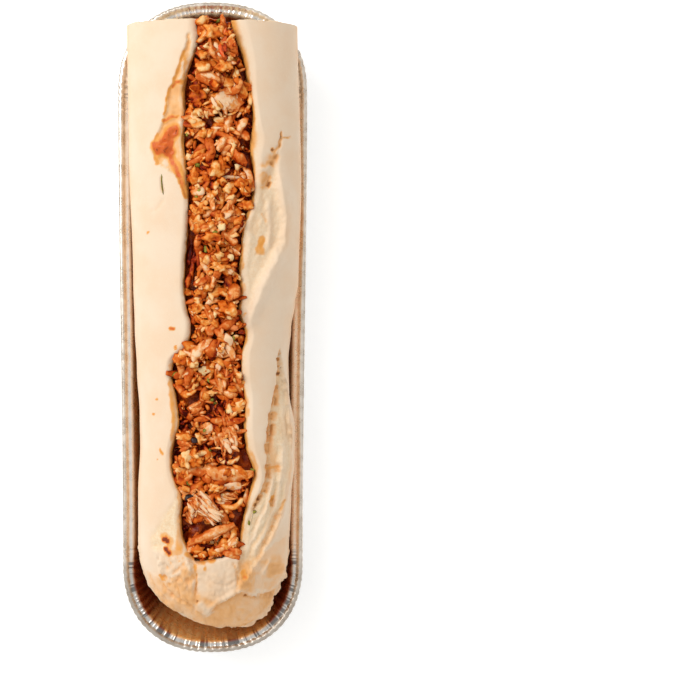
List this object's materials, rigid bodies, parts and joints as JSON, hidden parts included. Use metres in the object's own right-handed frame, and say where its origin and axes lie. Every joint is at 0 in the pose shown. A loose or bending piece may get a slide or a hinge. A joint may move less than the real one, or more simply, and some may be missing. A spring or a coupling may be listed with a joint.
{
  "type": "chicken satay roll",
  "caption": "Half baguette slit along the top and packed with pulled chicken in satay sauce, fried onion and chopped nuts, lying in a long foil tray.",
  "frame": {"origin": "on the floor, under the middle of the tray's outline", "axes": "+Z up; +Y along the roll, from its round end to its cut end; +X to the right as seen from above with +Y up"},
  "size_m": [0.0832, 0.286, 0.066],
  "materials": {
    "foil": "thin crimped foil, half bright, with a warm brown tone inside",
    "bread": "pale baked crust, dusted and dry, with rough open crumb in its splits",
    "filling": "moist pulled chicken coated in a glossy orange-brown sauce"
  },
  "bodies": {
    "root": {"foil_tray": "foil", "bread_roll": "bread", "satay_filling": "filling"}
  },
  "joints": []
}
